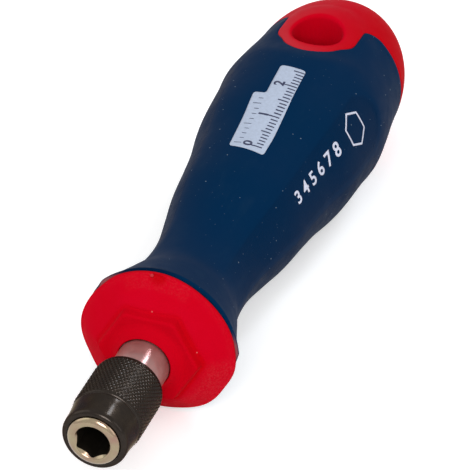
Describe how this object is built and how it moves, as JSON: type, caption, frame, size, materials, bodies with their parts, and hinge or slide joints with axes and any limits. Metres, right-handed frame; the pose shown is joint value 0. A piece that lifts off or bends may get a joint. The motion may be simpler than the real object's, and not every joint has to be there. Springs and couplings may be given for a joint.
{
  "type": "multi-bit screwdriver",
  "caption": "Hand screwdriver for loose hexagon bits: two-part moulded handle with flange and hang hole, and a quick-release chuck with a knurled locking sleeve.",
  "frame": {"origin": "The seat in the hexagon socket that a bit's end rests on, on the tool axis", "axes": "+Y runs along the tool axis from the bit's tip to the cap, +Z is the axis of the hang hole and up, +X is to the right seen from the tip"},
  "size_m": [0.0376, 0.1609, 0.037],
  "materials": {
    "hard_plastic": "satin moulded hard plastic with light scuffs",
    "soft_plastic": "matt soft overmoulding with a fine grain and dust",
    "bright_steel": "turned bright steel",
    "magnet": "plated magnet",
    "ball_steel": "polished ball",
    "black_steel": "black oxide with a crossed knurl",
    "spring_steel": "plain spring steel"
  },
  "bodies": {
    "handle": {"handle_core": "hard_plastic", "soft_grip": "soft_plastic", "chuck_body": "bright_steel", "magnet": "magnet", "retaining_ring": "spring_steel", "sleeve_spring": "spring_steel"},
    "carrier": {"thrust_washer": "spring_steel"},
    "sleeve": {"locking_sleeve": "black_steel"},
    "ball_1": {"lock_ball_1": "ball_steel"},
    "ball_2": {"lock_ball_2": "ball_steel"}
  },
  "joints": [
    {"name": "sleeve_slide", "type": "slide", "parent": "handle", "child": "carrier", "axis": [0, 1, 0], "range_m": [0, 0.0022], "stiffness_N_per_m": 900, "springref_m": -0.003, "deforming": ["sleeve_spring"]},
    {"name": "sleeve_spin", "type": "hinge", "parent": "carrier", "child": "sleeve", "pos_m": [0, 0, 0], "axis": [0, 1, 0], "continuous": true},
    {"name": "ball_1_lift", "type": "slide", "parent": "handle", "child": "ball_1", "axis": [0, 0, 1], "range_m": [0, 0.00044]},
    {"name": "ball_2_lift", "type": "slide", "parent": "handle", "child": "ball_2", "axis": [0, 0, -1], "range_m": [0, 0.00044]}
  ],
  "couplings": [
    {"joint": "ball_1_lift", "follows": "sleeve_slide", "ratio": 0.2},
    {"joint": "ball_2_lift", "follows": "sleeve_slide", "ratio": 0.2}
  ]
}
